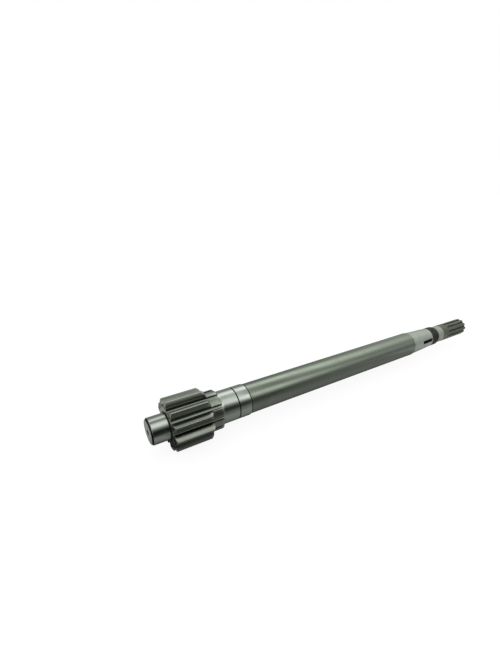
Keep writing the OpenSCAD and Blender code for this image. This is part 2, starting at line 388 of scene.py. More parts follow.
class Skin:
    """A closed surface that grows ring by ring along the shaft."""

    def __init__(self, tip_x):
        self.points = [np.array([[tip_x, 0.0, 0.0]])]
        self.worn = [np.zeros(1)]
        self.total = 1
        self.ring = np.array([0])
        self.angles = np.array([START_ANGLE])
        self.faces = []
        self.finishes = []

    def add_faces(self, faces, finish):
        """Adds faces; finish is one for all of them, or one for each."""
        self.faces.extend(faces)
        self.finishes.extend(np.broadcast_to(finish, len(faces)).tolist())

    def add(self, x, radii, angles, worn, finish):
        """One more ring, joined to the last one. x, radii and worn may be single numbers."""
        count = len(angles)
        ids = np.arange(self.total, self.total + count)
        x = np.broadcast_to(x, count)
        radii = np.broadcast_to(radii, count)
        self.points.append(np.column_stack((x, radii * np.cos(angles), radii * np.sin(angles))))
        self.worn.append(np.broadcast_to(worn, count))
        self.total += count
        if len(self.ring) == 1:
            joined = [(int(self.ring[0]), int(a), int(b)) for a, b in zip(ids, np.roll(ids, -1))]
        elif len(self.ring) == count:
            corners = (self.ring, np.roll(self.ring, -1), np.roll(ids, -1), ids)
            joined = [tuple(map(int, row)) for row in np.column_stack(corners)]
        else:
            joined = self.zipped(ids, angles)
        self.add_faces(joined, finish)
        self.ring = ids
        self.angles = np.array(angles)

    def zipped(self, ids, angles):
        """Triangles between the last ring and one with another number of points."""
        near = np.append(self.angles, self.angles[0] + 2 * math.pi)
        far = np.append(angles, angles[0] + 2 * math.pi)
        i = j = 0
        count_i, count_j = len(self.ring), len(ids)
        triangles = []
        while i < count_i or j < count_j:
            a = int(self.ring[i % count_i])
            b = int(ids[j % count_j])
            if j == count_j or (i < count_i and near[i + 1] <= far[j + 1]):
                triangles.append((a, int(self.ring[(i + 1) % count_i]), b))
                i += 1
            else:
                triangles.append((a, int(ids[(j + 1) % count_j]), b))
                j += 1
        return triangles

    def turn(self, section, finish):
        """Plain round rings along a half section. finish may be a function of (x, radius)."""
        before = None
        for x, r, worn in section:
            middle = (x, r) if before is None else ((x + before[0]) / 2, (r + before[1]) / 2)
            chosen = finish(*middle) if callable(finish) else finish
            self.add(x, r, ROUND_ANGLES, worn, chosen)
            before = (x, r)

    def close(self, tip_x, finish):
        """Ends the surface in a single point on the axis."""
        tip = self.total
        self.points.append(np.array([[tip_x, 0.0, 0.0]]))
        self.worn.append(np.zeros(1))
        self.total += 1
        fan = [(int(b), int(a), tip) for a, b in zip(self.ring, np.roll(self.ring, -1))]
        self.add_faces(fan, finish)

    def mesh(self, name):
        """The finished mesh, with its edge wear, which also paints edge highlights, as an attribute."""
        mesh = bpy.data.meshes.new(name)
        mesh.from_pydata(np.vstack(self.points).tolist(), [], self.faces)
        mesh.polygons.foreach_set("material_index", self.finishes)
        attribute = mesh.attributes.new("edge_wear_and_highlight", "FLOAT", "POINT")
        attribute.data.foreach_set("value", np.concatenate(self.worn).astype(np.float32))
        return mesh


def welded(mesh):
    """Joins points that coincide, turns every face outwards and checks that the surface is closed."""
    bm = bmesh.new()
    bm.from_mesh(mesh)
    bmesh.ops.remove_doubles(bm, verts=bm.verts, dist=WELD)
    bmesh.ops.dissolve_degenerate(bm, edges=bm.edges, dist=WELD / 4)
    bmesh.ops.recalc_face_normals(bm, faces=bm.faces)
    open_edges = sum(1 for e in bm.edges if len(e.link_faces) != 2)
    if open_edges:
        raise RuntimeError(f"the shaft's surface has {open_edges} open or crowded edges")
    if bm.calc_volume(signed=True) < 0:
        bmesh.ops.reverse_faces(bm, faces=bm.faces)
    bm.to_mesh(mesh)
    bm.free()


def stations(s):
    """Places along the shaft where one part ends and the next begins."""
    at = SimpleNamespace()
    at.pinion = s.spigot_length
    at.shoulder = at.pinion + s.pinion_length
    at.journal = at.shoulder + s.shoulder_length
    at.groove = at.journal + s.groove_offset
    at.body = at.journal + s.journal_length
    at.taper = at.body + s.body_length
    at.thread = at.taper + s.taper_length
    at.thread_end = at.thread + s.thread_length
    at.relief = at.thread_end + s.thread_bevel_length
    at.spline = at.relief + s.relief_length
    at.end = at.spline + s.spline_length
    return at


def centre_hole(s, face_x, side):
    """The bottom of a centre hole, and its half section up to its mouth; side is +1 into +x, -1 into -x."""
    mouth = s.centre_mouth_d / 2
    drill = s.centre_drill_d / 2
    cone = (mouth - drill) / math.tan(MOUTH_ANGLE)
    corners = [
        (face_x + side * s.centre_depth, drill, 0.0),
        (face_x + side * cone, drill, 0.15 * MM),
        (face_x, mouth, 0.2 * MM),
        (face_x, mouth + MOUTH_SHADE_RING, 0.0),
        (face_x, mouth + 2 * MM, 0.0),
    ]
    drill_tip = drill / math.tan(POINT_ANGLE)
    return face_x + side * (s.centre_depth + drill_tip), softened(corners)


def hole_finish(s, face_x):
    """The finish of a centre hole: painted shade inside it and in a ring round its mouth, then that of the
    end face.
    """

    def finish(x, radius):
        inside = abs(x - face_x) > 0.15 * MM or radius < s.centre_mouth_d / 2 + MOUTH_SHADE_RING
        return PAINTED_SHADE if inside else END_FACE

    return finish


def build_spigot(skin, s, at):
    """From the centre hole over the end face and the spigot to the near face of the teeth."""
    r = s.spigot_d / 2
    corner_x = at.pinion - s.spigot_fillet
    corners = [
        (0.0, s.centre_mouth_d / 2 + 3 * MM, 0.0),
        (0.0, r - s.spigot_bevel, 0.25 * MM),
        (s.spigot_bevel, r, 0.35 * MM),
        (corner_x - 4 * MM, r, 0.0),
        *arc(corner_x, r + s.spigot_fillet, s.spigot_fillet, 270, 360),
    ]

    def finish(x, radius):
        if x < 0.1 * MM:
            return END_FACE
        # The bevel on the end is painted near black as a dark reflected line, and the corner against the
        # pinion as painted shade
        return PAINTED_SHADE if x > corner_x or x < s.spigot_bevel * 0.9 else GROUND

    skin.turn(softened(corners), finish)


def near_end(s, at, radii):
    """How far along the shaft the near ends of the teeth stand, for each radius."""
    edge = s.tip_d / 2 - s.near_bevel_depth
    return at.pinion + np.maximum(0.0, radii - edge) * s.near_bevel_length / s.near_bevel_depth


def far_end(s, at, radii):
    """How far along the shaft the far ends of the teeth stand, for each radius."""
    shoulder_r = s.shoulder_d / 2
    fillet = s.shoulder_fillet
    foot = shoulder_r + fillet
    edge = s.tip_d / 2 - s.far_bevel
    bevel_x = at.shoulder - (edge - shoulder_r) * FAR_LEAN
    curve = at.shoulder + fillet - np.sqrt(np.clip(fillet ** 2 - (foot - radii) ** 2, 0, None))
    lean = (bevel_x - at.shoulder) * (radii - shoulder_r - fillet)
    steep = at.shoulder + lean / (edge - shoulder_r - fillet)
    x = np.where(radii < foot, curve, steep)
    x = np.where(radii > edge, bevel_x - (radii - edge), x)
    return np.where(radii < shoulder_r, at.shoulder + fillet, x)


def build_pinion(skin, s, at):
    """The teeth, from the face beside the spigot to the shoulder."""
    radii, angles, worn = tooth_outline(s)
    near_r = s.tip_d / 2 - s.near_bevel_depth
    far_r = s.tip_d / 2 - s.far_bevel
    shoulder_r = s.shoulder_d / 2
    fillet = s.shoulder_fillet
    end_wear = np.clip((radii - shoulder_r) / (2 * MM), 0.25, 1.0)
    inner_r, inner_angles = drawn_in(radii, angles, s.edge_break)
    skin.add(at.pinion, np.minimum(inner_r, near_r), inner_angles, 0.0, TOOTH)
    for along, depth in reversed(ROUNDING):
        r, a = drawn_in(radii, angles, s.edge_break * depth)
        skin.add(near_end(s, at, r) + s.edge_break * along, r, a, end_wear, TOOTH)
    for x in np.linspace(at.pinion + s.near_bevel_length + 1.2 * MM, at.shoulder - 5.4 * MM, 9):
        skin.add(x, radii, angles, worn, TOOTH)
    # Below the shoulder's radius the spaces run on, so no edge is broken there
    held = np.clip((radii - shoulder_r) / fillet, 0.0, 1.0)
    for along, depth in ROUNDING:
        r, a = drawn_in(radii, angles, s.edge_break * depth * held)
        skin.add(far_end(s, at, r) - s.edge_break * along * held, r, a, end_wear * held, TOOTH)
    leans = [math.radians(90 * step / 5) for step in range(1, 6)]
    stops = [far_r, END_ROW_RADIUS, shoulder_r + fillet]
    stops += [shoulder_r + fillet * (1 - math.sin(lean)) for lean in leans]
    for stop in stops:
        cut = np.minimum(r, stop)
        skin.add(far_end(s, at, cut), cut, a, 0.0, TOOTH)


def add_bevelled_end(skin, end_x, bevel_r, size, radii, angles, finish):
    """A bevelled end with a broken edge of a size, down to where the bevel meets the end face."""
    for along, depth in ROUNDING:
        cut, turned = drawn_in(radii, angles, size * depth)
        x = end_x - np.maximum(0.0, cut - bevel_r) - size * along
        skin.add(x, cut, turned, 1.0, finish)
    skin.add(end_x, np.minimum(cut, bevel_r), turned, 0.0, finish)


def build_shoulder(skin, s, at):
    """The shoulder that the tooth spaces run out through."""
    radii, angles, _ = tooth_outline(s)
    shoulder_r = s.shoulder_d / 2
    bevel_r = shoulder_r - s.shoulder_bevel
    corner = np.isclose(radii, shoulder_r, atol=1e-7)
    r = np.minimum(radii, shoulder_r) - TIGHT * corner
    worn = np.where(corner, 1.0, 0.0)
    on_land = r > shoulder_r - 0.2 * MM
    finish = np.where(on_land & np.roll(on_land, -1), SHOULDER, TOOTH)
    for x in (at.shoulder + s.shoulder_fillet + 0.5 * MM, at.shoulder + 5 * MM, at.journal - 5 * MM):
        skin.add(x, r, angles, worn, finish)
    add_bevelled_end(skin, at.journal, bevel_r, s.edge_break, r, angles, finish)


def build_journal_and_body(skin, s, at):
    """The journals with their ring groove, and the plain body up to the taper."""
    r = s.journal_d / 2
    body_r = s.body_d / 2
    groove_r = r - s.groove_depth
    groove_end = at.groove + s.groove_width
    step_x = at.body - (r - body_r)
    corner_x = at.journal + s.journal_fillet
    first_x = at.taper + 4 * MM
    corners = [
        *reversed(arc(corner_x, r + s.journal_fillet, s.journal_fillet, 270, 180)),
        (corner_x + 3 * MM, r, 0.0),
        (at.groove, r, 0.14 * MM),
        (at.groove, groove_r, 0.1 * MM),
        (groove_end, groove_r, 0.1 * MM),
        (groove_end, r, 0.14 * MM),
        (step_x, r, 0.2 * MM),
        (at.body, body_r, 0.2 * MM),
        (at.body + 0.8 * MM, body_r, 0.0),
        (at.body + 60 * MM, body_r, 0.0),
        (at.taper - 60 * MM, body_r, 0.0),
        (at.taper, body_r, 0.2 * MM),
        (at.taper, s.taper_d / 2, 0.1 * MM),
        (first_x, taper_radius(s, at, first_x), 0.0),
    ]

    def finish(x, radius):
        # The ring groove and the corner at the step down to the body are painted near black: painted shade
        in_groove = at.groove + 0.02 * MM < x < groove_end - 0.02 * MM and radius < r - 0.15 * MM
        if in_groove or step_x < x < at.body + 0.7 * MM:
            return PAINTED_SHADE
        if x < at.body:
            return GROUND
        return SATIN if x < at.taper - 0.001 * MM else TAPER

    skin.turn(softened(corners), finish)


def taper_radius(s, at, x):
    share = (x - at.taper) / s.taper_length
    return (s.taper_d + (s.taper_small_d - s.taper_d) * share) / 2


def build_taper(skin, s, at):
    """The tapered seat, in short steps where the key seat is sunk into it."""
    steps = [at.taper + 10 * MM, at.taper + 20 * MM]
    steps += list(np.linspace(at.thread - s.key_offset - 17 * MM, at.thread - 0.6 * MM, 19))
    skin.turn([(x, taper_radius(s, at, x), 0.0) for x in steps], TAPER)
    edge = s.taper_small_d / 2
    skin.turn([(at.thread - TIGHT, edge, 0.6), (at.thread, edge - TIGHT, 0.6)], TAPER)


def build_thread(skin, s, at):
    """The thread, which starts shallow beside the taper and runs out over its bevel."""
    outside = s.thread_d / 2
    relief_r = s.relief_d / 2
    depth = THREAD_DEPTH * s.thread_pitch
    rise = (outside - relief_r) / s.thread_bevel_length
    count = int(round((at.relief - at.thread) / s.thread_pitch * RINGS_PER_PITCH))
    for x in np.linspace(at.thread + 0.1 * MM, at.relief - 0.1 * MM, count):
        phase = ((x - at.thread) / s.thread_pitch - ROUND_ANGLES / (2 * math.pi)) % 1.0
        # 0 on the crest and 1 at the root, with both a little rounded
        ridge = np.clip(abs(phase - 0.5) * 2 * 1.28 - 0.1, 0.0, 1.0)
        ridge = ridge * ridge * (3 - 2 * ridge) * 0.35 + ridge * 0.65
        fade = min(1.0, max(0.0, (x - at.thread - THREAD_START) / THREAD_START_LENGTH))
        top = min(outside, outside - (x - at.thread_end) * rise)
        r = np.minimum(top, outside - depth * ridge * fade)
        worn = np.clip(1.0 - ridge * 4, 0.0, 1.0)
        skin.add(x, np.maximum(r, relief_r), ROUND_ANGLES, worn, THREAD)


def build_relief(skin, s, at):
    """The bright relief and the small step up to the splines."""
    r = s.relief_d / 2
    corners = [
        (at.relief, r, 0.0),
        (at.relief + 1 * MM, r, 0.0),
        (at.relief + s.relief_length / 2, r, 0.0),
        (at.spline, r, 0.05 * MM),
        (at.spline, s.spline_d / 2 - 0.1 * MM, 0.0),
    ]
    skin.turn(softened(corners), RELIEF)


def build_splines(skin, s, at):
    """The splines, from their plain part over the cutter's run-out to the end face."""
    outside = s.spline_d / 2
    small_break = 0.1 * MM
    _, angles, _ = spline_outline(s, at.spline, at.end)
    skin.add(at.spline, outside - small_break, angles, 0.6, SPLINE)
    skin.add(at.spline + small_break, outside, angles, 0.6, SPLINE)
    skin.add(at.spline + 0.6 * MM, outside, angles, 0.0, SPLINE)
    cut_x = at.spline + s.spline_plain_length
    steps = [at.spline + 8 * MM]
    steps += list(cut_x + RUN_OUT * (np.linspace(0, 1, RUN_OUT_RINGS) ** RUN_OUT_POWER))
    steps += [cut_x + 22 * MM, cut_x + 38 * MM, at.end - 6 * MM, at.end - s.spline_bevel - 0.9 * MM]
    for x in steps:
        r, a, worn = spline_outline(s, x, at.end)
        skin.add(x, r, a, worn, SPLINE)
    add_bevelled_end(skin, at.end, outside - s.spline_bevel, SPLINE_END_BREAK, r, a, SPLINE)


def build_far_face(skin, s, at):
    """The end face beside the splines, and its centre hole."""
    tip_x, hole = centre_hole(s, at.end, -1)
    skin.turn([(at.end, s.spline_d / 2 - s.spline_depth - 1 * MM, 0.0)], END_FACE)
    skin.turn(list(reversed(hole)), hole_finish(s, at.end))
    # The drill's point at the bottom of the hole is painted shade
    skin.close(tip_x, PAINTED_SHADE)


def key_cutter(s, at):
    """The disc that sinks the key seat, as a closed mesh object."""
    middle = at.thread - s.key_offset
    radius = s.key_cutter_d / 2
    along = Vector((1.0, 0.0, 0.0))
    out = Vector((0.0, -math.cos(s.key_angle), math.sin(s.key_angle)))
    across = along.cross(out)
    centre = along * middle + out * (taper_radius(s, at, middle) - s.key_depth + radius)
    bm = bmesh.new()
    sides = []
    for side in (-0.5, 0.5):
        ring = []
        for k in range(KEY_CUTTER_COLUMNS):
            a = 2 * math.pi * k / KEY_CUTTER_COLUMNS
            spot = centre + along * radius * math.cos(a) + out * radius * math.sin(a)
            ring.append(bm.verts.new(spot + across * s.key_width * side))
        sides.append(ring)
        bm.faces.new(ring)
    for k in range(KEY_CUTTER_COLUMNS):
        on = (k + 1) % KEY_CUTTER_COLUMNS
        bm.faces.new((sides[0][k], sides[0][on], sides[1][on], sides[1][k]))
    bmesh.ops.recalc_face_normals(bm, faces=bm.faces)
    for face in bm.faces:
        face.material_index = KEY_SEAT
    mesh = bpy.data.meshes.new("key_cutter")
    bm.to_mesh(mesh)
    bm.free()
    return placed("key_cutter", mesh)


def sink_key_seat(piece, s, at):
    """Cuts the key seat into the taper and breaks the edge round its mouth."""
    cutter = key_cutter(s, at)
    for finish in piece.data.materials:
        cutter.data.materials.append(finish)
    cut = piece.modifiers.new("key seat", "BOOLEAN")
    cut.operation = "DIFFERENCE"
    cut.solver = "EXACT"
    cut.object = cutter
    depsgraph = bpy.context.evaluated_depsgraph_get()
    cut_mesh = bpy.data.meshes.new_from_object(piece.evaluated_get(depsgraph))
    piece.modifiers.clear()
    old = piece.data
    piece.data = cut_mesh
    bpy.data.meshes.remove(old)
    bpy.data.objects.remove(cutter)
    bm = bmesh.new()
    bm.from_mesh(cut_mesh)
    mouth = []
    for edge in bm.edges:
        if {face.material_index for face in edge.link_faces} == {KEY_SEAT, TAPER}:
            mouth.append(edge)
    if not mouth:
        raise RuntimeError("the key seat was not cut")
    made = bmesh.ops.bevel(
        bm, geom=mouth, offset=KEY_MOUTH_BREAK, segments=2, profile=0.5, affect="EDGES",
        clamp_overlap=True,
    )
    wear = bm.verts.layers.float.get("edge_wear_and_highlight")
    for face in made["faces"]:
        face.material_index = KEY_SEAT
    for vert in made["verts"]:
        vert[wear] = KEY_MOUTH_WEAR
    bm.to_mesh(cut_mesh)
    bm.free()


# Materials

def add_node(tree, kind, inputs=None, **settings):
    """One shader node with its settings; an input is a number, a colour or another node's output."""
    made = tree.nodes.new(kind)
    for key, value in settings.items():
        setattr(made, key, value)
    for key, value in (inputs or {}).items():
        socket = made.inputs[key]
        if isinstance(value, bpy.types.NodeSocket):
            tree.links.new(value, socket)
        else:
            socket.default_value = value
    return made


def maths(tree, operation, *values, clamp=False):
    inputs = dict(enumerate(values))
    return add_node(tree, "ShaderNodeMath", inputs, operation=operation, use_clamp=clamp).outputs[0]


def vector_maths(tree, operation, inputs, output="Vector"):
    return add_node(tree, "ShaderNodeVectorMath", inputs, operation=operation).outputs[output]


def combined(tree, x, y=0.0, z=0.0):
    return add_node(tree, "ShaderNodeCombineXYZ", {"X": x, "Y": y, "Z": z}).outputs[0]


def remap(tree, value, low, high, to_low, to_high):
    inputs = {"Value": value, "From Min": low, "From Max": high, "To Min": to_low, "To Max": to_high}
    return add_node(tree, "ShaderNodeMapRange", inputs).outputs["Result"]


def mixed(tree, share, first, second):
    """A mix of two colours; the numbers are the mix node's factor, first and second colour."""
    return add_node(tree, "ShaderNodeMix", {0: share, 6: first, 7: second}, data_type="RGBA").outputs[2]


def object_place(tree):
    return add_node(tree, "ShaderNodeTexCoord").outputs["Object"]


def noise(tree, place, scale, output="Fac", **detail):
    return add_node(tree, "ShaderNodeTexNoise", {"Vector": place, "Scale": scale, **detail}).outputs[output]


def rgba(value, share=1.0):
    """A colour, made darker to a share of itself, with full alpha."""
    return (*(c * share for c in value), 1.0)


def new_group(name, output, inputs):
    """A shader node group with named number inputs and one number output."""
    group = bpy.data.node_groups.new(name, "ShaderNodeTree")
    for title, default in inputs.items():
        socket = group.interface.new_socket(title, in_out="INPUT", socket_type="NodeSocketFloat")
        socket.default_value = default
    group.interface.new_socket(output, in_out="OUTPUT", socket_type="NodeSocketFloat")
    return group, group.nodes.new("NodeGroupInput").outputs, group.nodes.new("NodeGroupOutput").inputs[0]


def turning_marks_group():
    """Fine rings left by a lathe or a grinding wheel, uneven along the shaft and steady round it."""
    inputs = {"Rings per metre": 3000.0, "Waver": 2.0}
    group, given, out = new_group("turning_marks", "Tone", inputs)
    split = add_node(group, "ShaderNodeSeparateXYZ", {"Vector": object_place(group)}).outputs
    across = combined(group, 0.0, split["Y"], split["Z"])
    radius = vector_maths(group, "LENGTH", {0: across}, "Value")
    unit = vector_maths(group, "NORMALIZE", {0: across})
    turn = vector_maths(group, "SCALE", {0: unit, "Scale": given["Waver"]})
    along = maths(group, "MULTIPLY", maths(group, "ADD", split["X"], radius), given["Rings per metre"])
    spot = vector_maths(group, "ADD", {0: turn, 1: combined(group, along)})
    group.links.new(noise(group, spot, 1.0, Detail=3.0, Roughness=0.65), out)
    return group


def lengthwise_marks_group():
    """Streaks that run along the shaft, as a cutter or a file leaves them."""
    inputs = {"Streaks per metre": 900.0, "Stretch": 30.0}
    group, given, out = new_group("lengthwise_marks", "Tone", inputs)
    split = add_node(group, "ShaderNodeSeparateXYZ", {"Vector": object_place(group)}).outputs
    slow = maths(group, "DIVIDE", split["X"], given["Stretch"])
    spot = combined(group, slow, split["Y"], split["Z"])
    group.links.new(noise(group, spot, given["Streaks per metre"], Detail=4.0, Roughness=0.6), out)
    return group


def stains_group():
    """Cloudy patches of thin oil and handling, over about half of the surface."""
    group, given, out = new_group("stains", "Mask", {"Patches per metre": 60.0})
    detail = {"Detail": 6.0, "Roughness": 0.62, "Distortion": 0.4}
    cloud = noise(group, object_place(group), given["Patches per metre"], **detail)
    group.links.new(remap(group, cloud, 0.34, 0.66, 0.0, 1.0), out)
    return group


def worn_and_highlit_edges_group():
    """Edges rubbed bright by handling, which also paint a highlight along them: the mesh's edge wear,
    broken up by noise.
    """
    group, given, out = new_group("worn_and_highlit_edges", "Mask", {"Amount": 1.0})
    worn = add_node(group, "ShaderNodeAttribute", attribute_name="edge_wear_and_highlight").outputs["Fac"]
    broken = remap(group, noise(group, object_place(group), 420.0, Detail=3.0), 0.32, 0.6, 0.35, 1.0)
    mask = maths(group, "MULTIPLY", maths(group, "MULTIPLY", worn, broken), given["Amount"], clamp=True)
    group.links.new(mask, out)
    return group


def nicks_group():
    """Small scattered dents and scratches from storage and handling."""
    group, given, out = new_group("nicks", "Mask", {"Share": 0.12})
    place = object_place(group)
    bend = noise(group, place, 90.0, "Color", Detail=2.0)
    bent = vector_maths(group, "SCALE", {0: bend, "Scale": 0.012})
    spot = vector_maths(group, "ADD", {0: place, 1: bent})
    inputs = {"Vector": spot, "Scale": 160.0}
    cells = add_node(group, "ShaderNodeTexVoronoi", inputs, feature="DISTANCE_TO_EDGE").outputs["Distance"]
    line = remap(group, cells, 0.0, 0.03, 1.0, 0.0)
    chosen = remap(group, noise(group, place, 35.0, Detail=1.0), 0.6, 0.68, 0.0, 1.0)
    mask = maths(group, "MULTIPLY", maths(group, "MULTIPLY", line, chosen), given["Share"], clamp=True)
    group.links.new(mask, out)
    return group


def shaded_spaces_group():
    """Painted shade deep in the spaces: it grows from Start to Full and fades from Fading to Clean, all
    radii.
    """
    inputs = {"Start": 0.0, "Full": 0.001, "Fading": 0.03, "Clean": 0.04, "Amount": 1.0}
    group, given, out = new_group("shaded_spaces", "Mask", inputs)
    flat = vector_maths(group, "MULTIPLY", {0: object_place(group), 1: (0.0, 1.0, 1.0)})
    radius = vector_maths(group, "LENGTH", {0: flat}, "Value")
    inner = remap(group, radius, given["Start"], given["Full"], 0.0, given["Amount"])
    outer = remap(group, radius, given["Fading"], given["Clean"], 1.0, 0.0)
    group.links.new(maths(group, "MULTIPLY", inner, outer), out)
    return group


def use_group(tree, maker, values):
    """The output of one of the groups above, which is made when it is first used."""
    name = maker.__name__.removesuffix("_group")
    node = tree.nodes.new("ShaderNodeGroup")
    node.node_tree = bpy.data.node_groups.get(name) or maker()
    for key, value in values.items():
        node.inputs[key].default_value = value
    return node.outputs[0]


def steel(
    name, base, dark, rough, worn, marks, *,
    mark_tone=0.18, mark_depth=0.004, rough_spread=0.06, stain=0.25, patches=55.0, stain_rough=0.08,
    edge=0.8, nicks=0.5, metallic=1.0, space_shade=None,
):
    """A machined steel: marks of the tool, stains, nicks and bright edges over one base colour.

    dark and worn are the colours of its stains and of its edges. marks is a group with its
    values, and space_shade, where there is any, is a colour with the values of shaded_spaces: painted shade
    deep in the spaces.
    """
    material = bpy.data.materials.new(name)
    material.use_nodes = True
    tree = material.node_tree
    shader = tree.nodes["Principled BSDF"]
    mark = use_group(tree, *marks)
    cloud = use_group(tree, stains_group, {"Patches per metre": patches})
    rubbed = use_group(tree, worn_and_highlit_edges_group, {"Amount": edge})
    nick = use_group(tree, nicks_group, {"Share": nicks})
    shown = mixed(tree, maths(tree, "MULTIPLY", cloud, stain), rgba(base), rgba(dark))
    shown = mixed(tree, remap(tree, mark, 0.3, 0.7, 0.0, mark_tone), shown, rgba(base, 0.55))
    # Painted shade deep in the spaces, in the colour given with it
    if space_shade:
        shown = mixed(tree, use_group(tree, shaded_spaces_group, space_shade[1]), shown, rgba(space_shade[0]))
    shown = mixed(tree, rubbed, shown, rgba(worn))
    shown = mixed(tree, maths(tree, "MULTIPLY", nick, 0.6), shown, rgba(base, 0.4))
    tree.links.new(shown, shader.inputs["Base Color"])
    uneven = remap(tree, mark, 0.3, 0.7, rough - rough_spread, rough + rough_spread)
    patchy = maths(tree, "ADD", uneven, maths(tree, "MULTIPLY", cloud, stain_rough))
    smoothed = maths(tree, "SUBTRACT", patchy, maths(tree, "MULTIPLY", rubbed, 0.05), clamp=True)
    tree.links.new(smoothed, shader.inputs["Roughness"])
    shader.inputs["Metallic"].default_value = metallic
    inputs = {"Height": maths(tree, "SUBTRACT", mark, nick), "Strength": 1.0, "Distance": mark_depth * MM}
    tree.links.new(add_node(tree, "ShaderNodeBump", inputs).outputs["Normal"], shader.inputs["Normal"])
    return material


def make_finishes(looks):
    """Every steel of the shaft, in the order of the material slots."""
    rings = (turning_marks_group, {"Rings per metre": 2600.0, "Waver": 1.5})
    coarse = (turning_marks_group, {"Rings per metre": 1100.0, "Waver": 1.0})
    streaks = (lengthwise_marks_group, {"Streaks per metre": 700.0, "Stretch": 40.0})

    def space_shade(tint, start, full, fading, clean, amount):
        stops = {"Start": start * MM, "Full": full * MM, "Fading": fading * MM, "Clean": clean * MM}
        return tint, {**stops, "Amount": amount}

    def shade(tint, share):
        return [c * share for c in tint]

    # Name, colour, colour of its stains, roughness, marks of the tool and what else differs
    kinds = (
        ("ground_steel", looks.ground, shade(looks.ground, 0.7), 0.11, rings, {
            "stain": 0.15, "mark_depth": 0.0006, "mark_tone": 0.08, "rough_spread": 0.03,
            "stain_rough": 0.03, "nicks": 0.0, "edge": 0.3,
        }),
        ("satin_steel", looks.satin, looks.olive, 0.22, rings, {
            "patches": 28.0, "stain": 0.16, "mark_depth": 0.0008, "mark_tone": 0.08,
            "rough_spread": 0.04, "nicks": 0.1,
        }),
        ("tooth_steel", looks.tooth, shade(looks.tooth, 0.6), 0.22, streaks, {
            "patches": 40.0, "mark_depth": 0.0012, "mark_tone": 0.06, "edge": 0.3, "nicks": 0.2,
            # Brown oil deep in the tooth spaces, which also paints the shade there, darkest low on the
            # flanks
            "space_shade": space_shade(looks.oil, 24.5, 25.4, 26.5, 31.5, 0.92),
        }),
        ("end_face_steel", looks.end_face, shade(looks.end_face, 0.6), 0.4, coarse, {
            "stain": 0.4, "mark_depth": 0.01, "edge": 0.2,
        }),
        ("taper_steel", looks.taper, shade(looks.taper, 0.75), 0.38, rings, {
            "patches": 100.0, "stain": 0.5, "mark_depth": 0.006, "metallic": 0.85,
        }),
        ("black_thread", looks.thread, shade(looks.thread, 0.6), 0.42, coarse, {
            "stain": 0.4, "edge": 0.1, "nicks": 0.2, "metallic": 0.85,
            # Painted shade in the roots of the thread
            "space_shade": space_shade(looks.groove, 0, 1, 16.8, 17.9, 0.8),
        }),
        ("relief_steel", looks.relief, shade(looks.relief, 0.8), 0.45, coarse, {
            "patches": 110.0, "stain": 0.7, "mark_depth": 0.008, "metallic": 0.85,
        }),
        ("spline_steel", looks.spline, shade(looks.olive, 0.45), 0.4, rings, {
            "patches": 80.0, "stain": 0.6, "edge": 0.25, "metallic": 0.7,
            # Painted shade deep in the spline spaces
            "space_shade": space_shade(looks.groove, 0, 1, 13.9, 15.9, 0.6),
        }),
        # Near black: painted shade inside the key seat
        ("key_seat_steel", looks.key_seat, looks.oil, 0.5, coarse, {"stain": 0.5, "edge": 0.2}),
        # Near black: painted shade in the groove, the corners and the centre holes, and a painted dark line
        # on the spigot's bevel
        ("painted_shade_steel", looks.groove, looks.oil, 0.5, coarse, {"stain": 0.5, "edge": 0.0}),
        ("shoulder_steel", looks.shoulder, shade(looks.shoulder, 0.6), 0.2, rings, {
            "stain": 0.6, "patches": 90.0, "mark_depth": 0.003, "edge": 0.4, "nicks": 0.2,
        }),
    )
    made = []
    for name, base, dark, rough, marks, detail in kinds:
        made.append(steel(name, base, dark, rough, looks.edge, marks, **detail))
    return made


# Studio

CAMERA_PLACE = (-0.07644, -0.37842, 0.29183)
CAMERA_AIM = (0.26315, 0.07457, 0.0)
CAMERA_ROLL = math.radians(2.692)
CAMERA_SHIFT = (-0.0589, 0.0339)
CAMERA_FRAME_MM = 36.0
CAMERA_RANGE = (0.01, 50.0)

WHITE = (1.0, 1.0, 1.0, 1.0)
FLOOR_REACH = 8.0
FLOOR_STRENGTH = 1.06
LAMP_AIM = (0.33, 0.0, 0.0)
LAMP_SIZE = (2.4, 1.0)
LAMP_PLACES = {"front_softbox": (0.9, -1.6, 2.2), "rear_softbox": (0.5, 1.2, 2.4)}
